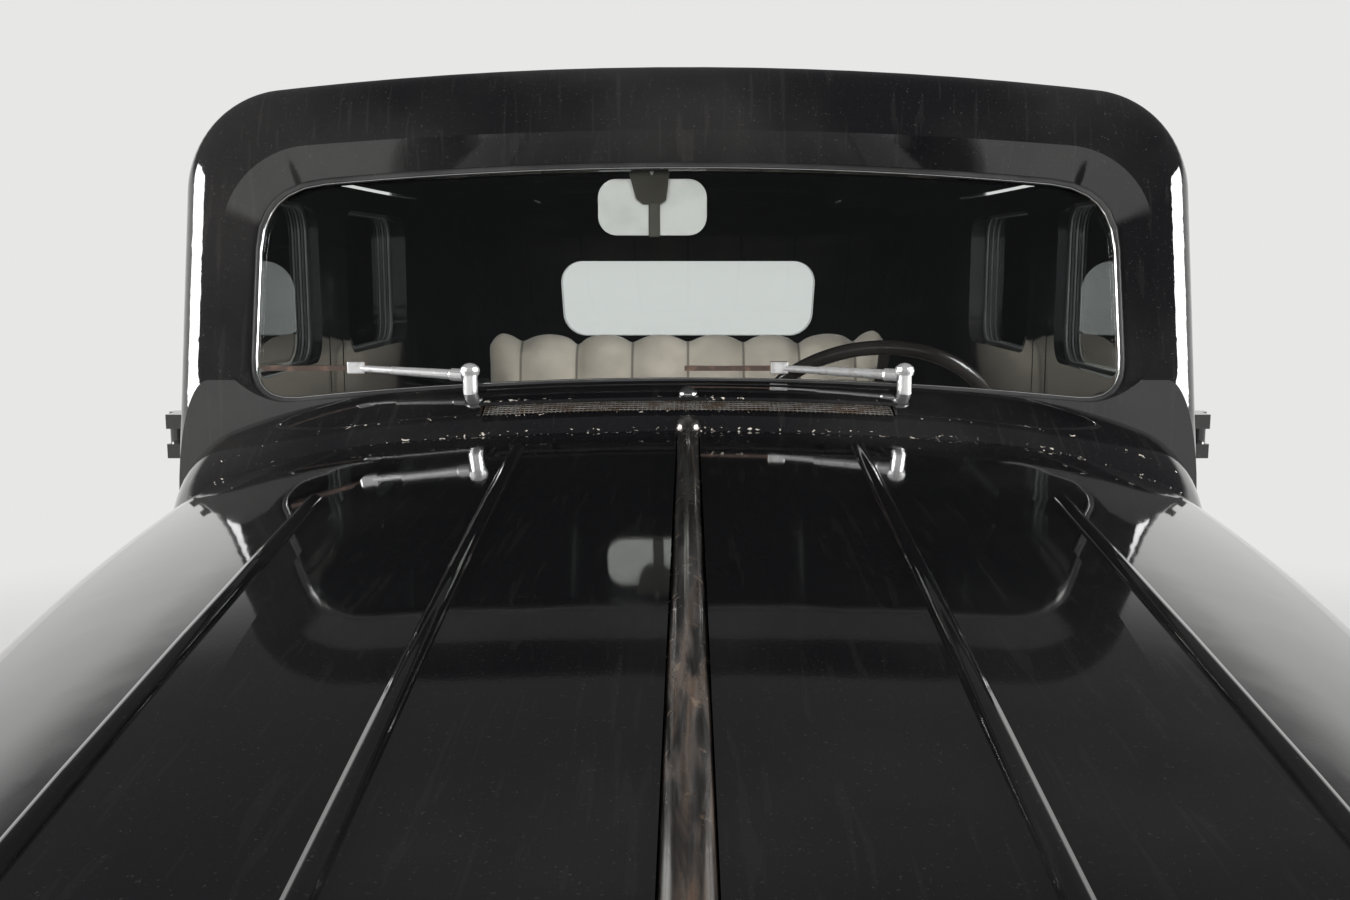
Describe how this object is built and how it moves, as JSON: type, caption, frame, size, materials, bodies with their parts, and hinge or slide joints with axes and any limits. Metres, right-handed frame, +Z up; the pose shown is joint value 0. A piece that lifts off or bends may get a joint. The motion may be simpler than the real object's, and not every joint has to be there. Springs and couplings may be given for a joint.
{
  "type": "sedan",
  "caption": "Closed four-door sedan of late-1930s form with a long split hood, separate fenders, a flat windshield, an opening cowl ventilator and pleated cloth seats.",
  "frame": {"origin": "on the ground, in the middle of the bounding box", "axes": "+Z up, the front toward -Y, +X the car's own left (driver's) side"},
  "size_m": [1.68, 4.4596, 1.6398],
  "materials": {
    "body_paint": "polished black coach paint",
    "bright_metal": "polished bright plating",
    "cast_metal": "dull cast metal",
    "chassis_paint": "satin black frame paint",
    "clear_glass": "clear flat glass",
    "fender_paint": "polished black coach paint",
    "floor_paint": "dark floor covering",
    "lens_glass": "fluted lamp lens",
    "mesh_metal": "fine woven wire",
    "mirror_metal": "brown bracket and mirror back",
    "pipe_steel": "dull pipe steel",
    "rod_metal": "worn plated hinge rod",
    "seat_cloth": "pleated beige cloth",
    "spring_steel": "dark leaf steel",
    "tail_red": "black lamp body with a red lens",
    "tank_paint": "satin black",
    "trim_paint": "brown grained metal",
    "tyre_rubber": "matt black tread and walls",
    "wheel_paint": "black wheel with bright cap",
    "wheel_plastic": "dark moulded rim",
    "wiper_metal": "silver enamelled arms"
  },
  "bodies": {
    "body": {"bumpers": "bright_metal", "chassis": "chassis_paint", "cowl": "body_paint", "dashboard": "trim_paint", "driveline": "cast_metal", "engine_block": "cast_metal", "exhaust": "pipe_steel", "floor_pan": "floor_paint", "front_axle": "chassis_paint", "front_fenders": "fender_paint", "front_seat": "seat_cloth", "front_seat_base": "floor_paint", "fuel_tank": "tank_paint", "grille": "bright_metal", "headlamp_lenses": "lens_glass", "headlamps": "body_paint", "hood_rod": "rod_metal", "hood_sides": "body_paint", "interior_mirror": "mirror_metal", "leaf_springs": "spring_steel", "radiator_core": "chassis_paint", "radiator_shell": "body_paint", "rear_axle": "cast_metal", "rear_body": "body_paint", "rear_fenders": "fender_paint", "rear_glass": "clear_glass", "rear_seat": "seat_cloth", "roof_panel": "body_paint", "running_boards": "fender_paint", "side_frames": "body_paint", "steering_column": "chassis_paint", "tail_lamps": "tail_red", "vent_mesh": "mesh_metal", "windshield_frame": "body_paint", "windshield_glass": "clear_glass", "wipers": "wiper_metal"},
    "hood_left": {"hood_left": "body_paint"},
    "hood_right": {"hood_right": "body_paint"},
    "luggage_lid": {"luggage_lid": "body_paint"},
    "vent_lid": {"vent_lid": "body_paint"},
    "knuckle_left": {"knuckle_left": "cast_metal"},
    "knuckle_right": {"knuckle_right": "cast_metal"},
    "steering_wheel": {"steering_wheel": "wheel_plastic"},
    "door_front_left": {"door_front_left": "body_paint", "glass_front_left": "clear_glass"},
    "wheel_front_left": {"wheel_front_left": "wheel_paint", "tyre_front_left": "tyre_rubber"},
    "door_front_right": {"door_front_right": "body_paint", "glass_front_right": "clear_glass"},
    "wheel_front_right": {"wheel_front_right": "wheel_paint", "tyre_front_right": "tyre_rubber"},
    "door_rear_left": {"door_rear_left": "body_paint", "glass_rear_left": "clear_glass"},
    "wheel_rear_left": {"wheel_rear_left": "wheel_paint", "tyre_rear_left": "tyre_rubber"},
    "door_rear_right": {"door_rear_right": "body_paint", "glass_rear_right": "clear_glass"},
    "wheel_rear_right": {"wheel_rear_right": "wheel_paint", "tyre_rear_right": "tyre_rubber"}
  },
  "joints": [
    {"name": "hood_left_hinge", "type": "hinge", "parent": "body", "child": "hood_left", "pos_m": [0, -0.95, 1.0736], "axis": [0, -0.9986, -0.0532], "range_deg": [0, 50]},
    {"name": "hood_right_hinge", "type": "hinge", "parent": "body", "child": "hood_right", "pos_m": [0, -0.95, 1.0736], "axis": [0, 0.9986, 0.0532], "range_deg": [0, 50]},
    {"name": "door_front_left_hinge", "type": "hinge", "parent": "body", "child": "door_front_left", "pos_m": [0.78155, -0.057, 0.8], "axis": [0, 0, -1], "range_deg": [0, 65]},
    {"name": "door_rear_left_hinge", "type": "hinge", "parent": "body", "child": "door_rear_left", "pos_m": [0.79534, 0.558, 0.8], "axis": [0, 0, -1], "range_deg": [0, 65]},
    {"name": "door_front_right_hinge", "type": "hinge", "parent": "body", "child": "door_front_right", "pos_m": [-0.78155, -0.057, 0.8], "axis": [0, 0, 1], "range_deg": [0, 65]},
    {"name": "door_rear_right_hinge", "type": "hinge", "parent": "body", "child": "door_rear_right", "pos_m": [-0.79534, 0.558, 0.8], "axis": [0, 0, 1], "range_deg": [0, 65]},
    {"name": "luggage_lid_hinge", "type": "hinge", "parent": "body", "child": "luggage_lid", "pos_m": [0, 1.77251, 0.98642], "axis": [1, 0, 0], "range_deg": [0, 70]},
    {"name": "vent_lid_hinge", "type": "hinge", "parent": "body", "child": "vent_lid", "pos_m": [0, -0.222, 1.154], "axis": [1, 0, 0], "range_deg": [0, 12]},
    {"name": "steer_left", "type": "hinge", "parent": "body", "child": "knuckle_left", "pos_m": [0.64, -1.45, 0.35], "axis": [0, 0, 1], "range_deg": [-30, 30]},
    {"name": "steer_right", "type": "hinge", "parent": "body", "child": "knuckle_right", "pos_m": [-0.64, -1.45, 0.35], "axis": [0, 0, 1], "range_deg": [-30, 30]},
    {"name": "steering_wheel_turn", "type": "hinge", "parent": "body", "child": "steering_wheel", "pos_m": [0.322, 0.235, 1.029], "axis": [0, 0.766, 0.6428], "range_deg": [-390, 390]},
    {"name": "wheel_front_left_spin", "type": "hinge", "parent": "knuckle_left", "child": "wheel_front_left", "pos_m": [0.695, -1.45, 0.35], "axis": [1, 0, 0], "continuous": true},
    {"name": "wheel_rear_left_spin", "type": "hinge", "parent": "body", "child": "wheel_rear_left", "pos_m": [0.695, 1.4, 0.35], "axis": [1, 0, 0], "continuous": true},
    {"name": "wheel_front_right_spin", "type": "hinge", "parent": "knuckle_right", "child": "wheel_front_right", "pos_m": [-0.695, -1.45, 0.35], "axis": [1, 0, 0], "continuous": true},
    {"name": "wheel_rear_right_spin", "type": "hinge", "parent": "body", "child": "wheel_rear_right", "pos_m": [-0.695, 1.4, 0.35], "axis": [1, 0, 0], "continuous": true}
  ],
  "couplings": [
    {"joint": "steer_right", "follows": "steer_left", "ratio": 1},
    {"joint": "steering_wheel_turn", "follows": "steer_left", "ratio": 13}
  ]
}
